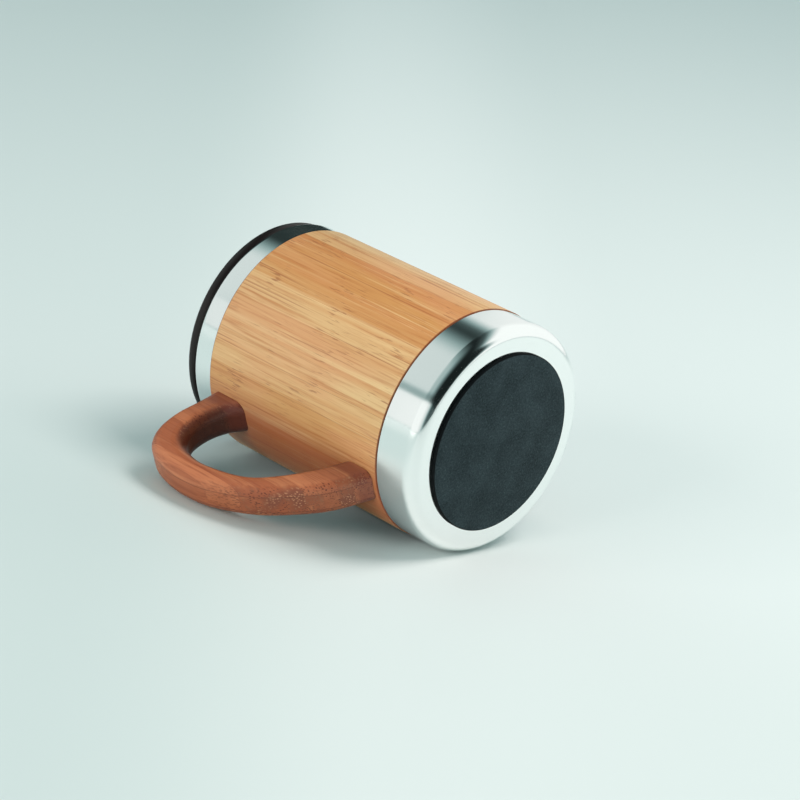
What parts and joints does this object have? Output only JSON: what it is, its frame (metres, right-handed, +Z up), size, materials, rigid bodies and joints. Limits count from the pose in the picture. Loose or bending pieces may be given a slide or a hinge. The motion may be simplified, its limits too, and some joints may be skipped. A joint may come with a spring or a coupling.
{
  "type": "insulated mug",
  "caption": "Double-walled steel mug in a bamboo sleeve with a bamboo loop handle and a lift-off lid whose slide opens a drinking slot.",
  "frame": {"origin": "centre of the base pad's flat underside", "axes": "+Z up the mug's axis towards the lid, -X towards the handle"},
  "size_m": [0.123, 0.085, 0.1158],
  "materials": {
    "foam_pad": "fine-celled foam, matt",
    "satin_steel": "satin polished",
    "inner_steel": "plain drawn",
    "light_bamboo": "laminated strips, satin varnish",
    "dark_bamboo": "carbonised, satin varnish",
    "zinc_screw": "zinc plated",
    "dark_plastic": "satin",
    "silicone": "soft matt"
  },
  "bodies": {
    "mug": {"base_pad": "foam_pad", "base_cap": "satin_steel", "vacuum_shell": "inner_steel", "inner_cup": "satin_steel", "bamboo_sleeve": "light_bamboo", "handle": "dark_bamboo", "upper_handle_screw": "zinc_screw", "lower_handle_screw": "zinc_screw"},
    "lid": {"lid_body": "dark_plastic", "lid_seal": "silicone"},
    "slide": {"lid_slider": "dark_plastic", "slider_seal": "silicone", "slider_clip": "dark_plastic"}
  },
  "joints": [
    {"name": "lid_lift", "type": "slide", "parent": "mug", "child": "lid", "axis": [0, 0, 1], "range_m": [0, 0.04]},
    {"name": "slide_open", "type": "slide", "parent": "lid", "child": "slide", "axis": [-1, 0, 0], "range_m": [0, 0.013]}
  ]
}
